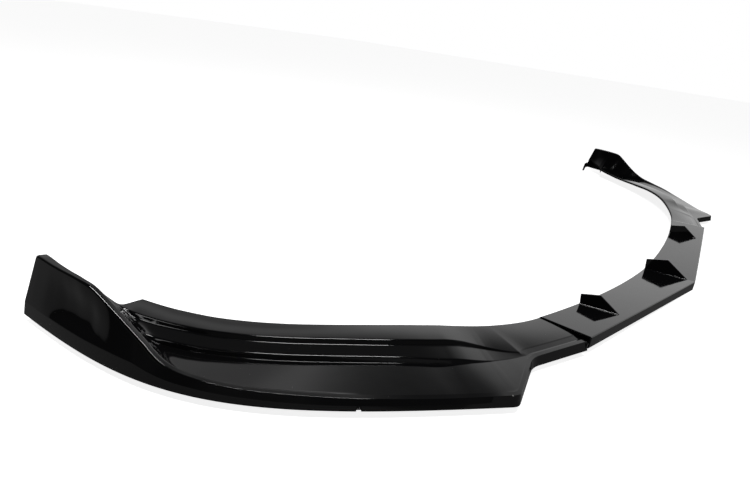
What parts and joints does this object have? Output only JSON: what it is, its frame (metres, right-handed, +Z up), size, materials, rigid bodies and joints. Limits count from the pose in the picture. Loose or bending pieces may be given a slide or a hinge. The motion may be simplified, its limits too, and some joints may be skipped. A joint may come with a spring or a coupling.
{
  "type": "front splitter lip",
  "caption": "Glossy black front bumper splitter lip: a V-nosed middle length with upright strakes, lapped over curved side lengths that rise into low wings at the rear.",
  "frame": {"origin": "on the floor under the middle of the overall box", "axes": "-Y points to the front of the car, +X to the car's left, +Z up; the floor is the plane through the nose's foot and the two rear tabs"},
  "size_m": [1.841, 0.532, 0.0865],
  "materials": {
    "lip_plastic": "high gloss black ABS",
    "screw_steel": "zinc plated"
  },
  "bodies": {
    "root": {"left_side_lip": "lip_plastic", "right_side_lip": "lip_plastic", "centre_lip": "lip_plastic", "seam_screws": "screw_steel"}
  },
  "joints": []
}
